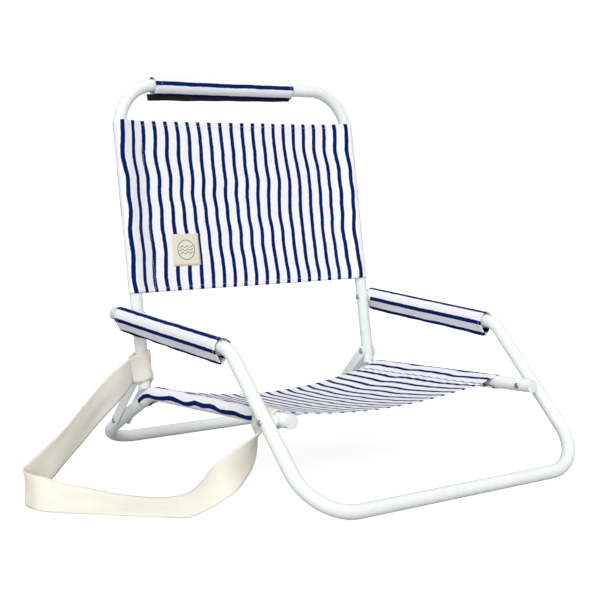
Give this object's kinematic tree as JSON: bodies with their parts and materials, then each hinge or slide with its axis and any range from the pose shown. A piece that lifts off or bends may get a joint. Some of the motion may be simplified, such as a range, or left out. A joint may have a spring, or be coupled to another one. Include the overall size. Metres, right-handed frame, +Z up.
{
  "type": "folding beach chair",
  "caption": "Low folding beach chair: bent tube frames on riveted pivots, striped canvas seat and back, padded arms and head bar, webbing carry strap.",
  "frame": {"origin": "on the ground, under the middle of the open chair's box", "axes": "+Z up; +Y towards the back of the chair, so a sitter faces -Y; the carry strap is on the -X side"},
  "size_m": [0.837, 0.747, 0.6754],
  "materials": {
    "white_powder_coat": "gloss white with a faint green-grey cast, taken as powder coat; the metal under it is assumed",
    "rivet_zinc": "silver domed heads, taken as zinc-plated steel",
    "white_plastic": "semi-gloss moulded plastic",
    "striped_canvas": "plain-weave canvas, cool white with narrow navy stripes",
    "foam": "matte tan foam padding",
    "hook_and_loop": "black hook-and-loop tape",
    "cotton_webbing": "cream webbing, taken as cotton",
    "cotton_label": "natural cotton patch with a stitched border"
  },
  "bodies": {
    "front_frame": {"front_frame_tube": "white_powder_coat", "arm_end_cap_left": "white_plastic", "arm_end_cap_right": "white_plastic", "front_pivot_rivet_left": "rivet_zinc", "front_pivot_rivet_right": "rivet_zinc", "front_pivot_spacer_left": "white_plastic", "front_pivot_spacer_right": "white_plastic", "arm_pivot_rivet_left": "rivet_zinc", "arm_pivot_rivet_right": "rivet_zinc", "arm_pivot_spacer_left": "white_plastic", "arm_pivot_spacer_right": "white_plastic", "arm_foam_left": "foam", "arm_foam_right": "foam", "arm_cover_left": "striped_canvas", "arm_cover_right": "striped_canvas", "arm_closure_left": "hook_and_loop", "arm_closure_right": "hook_and_loop", "carry_strap": "cotton_webbing"},
    "seat_frame": {"seat_frame_tube": "white_powder_coat", "seat_panel": "striped_canvas", "carry_strap_front_loop": "cotton_webbing", "seat_rail_cap_left": "white_plastic", "seat_rail_cap_right": "white_plastic"},
    "back_frame": {"back_frame_tube": "white_powder_coat", "back_panel": "striped_canvas", "back_label": "cotton_label", "head_foam": "foam", "head_cover": "striped_canvas", "head_closure": "hook_and_loop", "carry_strap_rear_loop": "cotton_webbing", "upright_foot_left": "white_plastic", "upright_foot_right": "white_plastic", "link_upper_rivet_left": "rivet_zinc", "link_upper_rivet_right": "rivet_zinc"},
    "link_left": {"link_outer_left": "white_powder_coat", "link_inner_left": "white_powder_coat", "link_lower_rivet_outer_left": "rivet_zinc", "link_lower_rivet_inner_left": "rivet_zinc"},
    "link_right": {"link_outer_right": "white_powder_coat", "link_inner_right": "white_powder_coat", "link_lower_rivet_outer_right": "rivet_zinc", "link_lower_rivet_inner_right": "rivet_zinc"}
  },
  "joints": [
    {"name": "back_fold", "type": "hinge", "parent": "front_frame", "child": "back_frame", "pos_m": [0, 0.1846, 0.2596], "axis": [1, 0, 0], "range_deg": [0, 108]},
    {"name": "seat_fold", "type": "hinge", "parent": "front_frame", "child": "seat_frame", "pos_m": [0, -0.2462, 0.1332], "axis": [1, 0, 0], "range_deg": [0, 10.09]},
    {"name": "link_fold_left", "type": "hinge", "parent": "back_frame", "child": "link_left", "pos_m": [-0.25, 0.1702, 0.1541], "axis": [1, 0, 0], "range_deg": [-164.5, 0]},
    {"name": "link_fold_right", "type": "hinge", "parent": "back_frame", "child": "link_right", "pos_m": [0.25, 0.1702, 0.1541], "axis": [1, 0, 0], "range_deg": [-164.5, 0]}
  ],
  "couplings": [
    {"joint": "seat_fold", "follows": "back_fold", "ratio": 0.09338},
    {"joint": "link_fold_left", "follows": "back_fold", "ratio": -1.5228},
    {"joint": "link_fold_right", "follows": "back_fold", "ratio": -1.5228}
  ]
}
